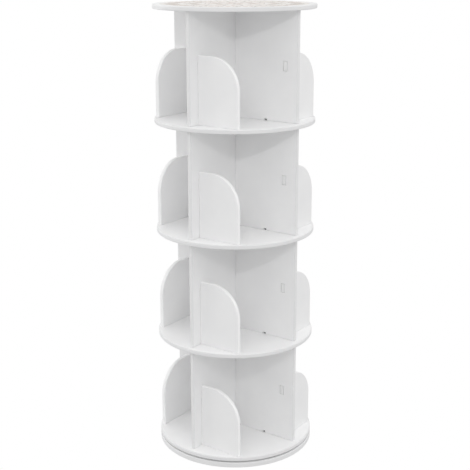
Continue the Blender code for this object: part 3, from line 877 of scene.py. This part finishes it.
def make_camera():
    data = bpy.data.cameras.new("camera")
    data.sensor_width = SENSOR
    data.lens = FOCAL_PIXELS * SENSOR / FRAME_PIXELS
    data.shift_x = (FRAME_PIXELS / 2 - CENTRE_X) / FRAME_PIXELS
    data.shift_y = (CENTRE_Y - FRAME_PIXELS / 2) / FRAME_PIXELS
    camera = bpy.data.objects.new("camera", data)
    bpy.context.scene.collection.objects.link(camera)
    away = Vector((math.sin(CAMERA_TURN), -math.cos(CAMERA_TURN), 0.0))
    camera.location = away * CAMERA_DISTANCE + Vector((0, 0, CAMERA_HEIGHT))
    level = Matrix.Rotation(CAMERA_TURN, 4, "Z") @ Matrix.Rotation(math.pi / 2 - CAMERA_PITCH, 4, "X")
    camera.rotation_euler = (level @ Matrix.Rotation(CAMERA_ROLL, 4, "Z")).to_euler()
    bpy.context.scene.camera = camera


def make_room():
    """The pale floor and a round room over it, seen by the camera alone, so that they light nothing."""
    dome = corner_arc(0.0, 0.0, ROOM_RADIUS, 90, 24)
    room = bpy.data.objects.new("room", mesh_from("room", turned([*dome, (0.0, 0.0)], 96)))
    bpy.context.scene.collection.objects.link(room)
    material, tree, shader = new_material("pale_room", (0.0, 0.0, 0.0), 1.0)
    shader.inputs["Specular IOR Level"].default_value = 0.0
    shader.inputs["Emission Color"].default_value = (1.0, 1.0, 1.0, 1.0)
    shader.inputs["Emission Strength"].default_value = 1.0
    room.data.materials.append(material)
    room.visible_diffuse = room.visible_glossy = room.visible_shadow = False


def make_key_light():
    """A small light high behind the camera, which casts the edge of the top disc's shadow."""
    data = bpy.data.lights.new("key", "AREA")
    data.size = KEY_SIZE
    data.energy = KEY_POWER
    light = bpy.data.objects.new("key", data)
    bpy.context.scene.collection.objects.link(light)
    light.location = (math.sin(KEY_TURN) * KEY_DISTANCE, -math.cos(KEY_TURN) * KEY_DISTANCE, KEY_HEIGHT)
    light.rotation_euler = (light.location - Vector((0, 0, KEY_AIM))).to_track_quat("Z", "Y").to_euler()


def make_surroundings():
    """A white room: even light above and a darker floor, with a few broad soft panels."""
    scene = bpy.context.scene
    world = bpy.data.worlds.new("studio")
    scene.world = world
    world.use_nodes = True
    nodes, links = world.node_tree.nodes, world.node_tree.links
    where = nodes.new("ShaderNodeTexCoord").outputs["Generated"]

    def calculate(operation, value, operand):
        node = nodes.new("ShaderNodeMath")
        node.operation = operation
        for socket, source in zip(node.inputs, (value, operand)):
            if isinstance(source, float):
                socket.default_value = source
            else:
                links.new(source, socket)
        return node.outputs["Value"]

    above = SKY_LIGHT
    for turn, rise, strength in SOFT_PANELS:
        a, e = CAMERA_TURN + math.radians(turn), math.radians(rise)
        dot = nodes.new("ShaderNodeVectorMath")
        dot.operation = "DOT_PRODUCT"
        dot.inputs[1].default_value = (math.sin(a) * math.cos(e), -math.cos(a) * math.cos(e), math.sin(e))
        links.new(where, dot.inputs[0])
        lobe = calculate("POWER", calculate("MAXIMUM", dot.outputs["Value"], 0.0), PANEL_FOCUS)
        above = calculate("ADD", above, calculate("MULTIPLY", lobe, strength))
    split = nodes.new("ShaderNodeSeparateXYZ")
    links.new(where, split.inputs["Vector"])
    horizon = nodes.new("ShaderNodeMapRange")
    horizon.inputs["From Min"].default_value = HORIZON - HORIZON_BLUR / 2
    horizon.inputs["From Max"].default_value = HORIZON + HORIZON_BLUR / 2
    links.new(split.outputs["Z"], horizon.inputs["Value"])
    raised = calculate("SUBTRACT", above, GROUND_LIGHT)
    total = calculate("ADD", calculate("MULTIPLY", raised, horizon.outputs["Result"]), GROUND_LIGHT)
    links.new(total, nodes["Background"].inputs["Strength"])
    nodes["Background"].inputs["Color"].default_value = (1.0, 1.0, 1.0, 1.0)
    scene.view_settings.view_transform = "Standard"


make_camera()
make_room()
make_key_light()
make_surroundings()
make_base()
make_lowest_shelf()
make_upper_shelves()
make_top()
make_dividers()
make_arches()
make_screws()
make_bearing()
make_cage()
make_panel()
make_ornament()
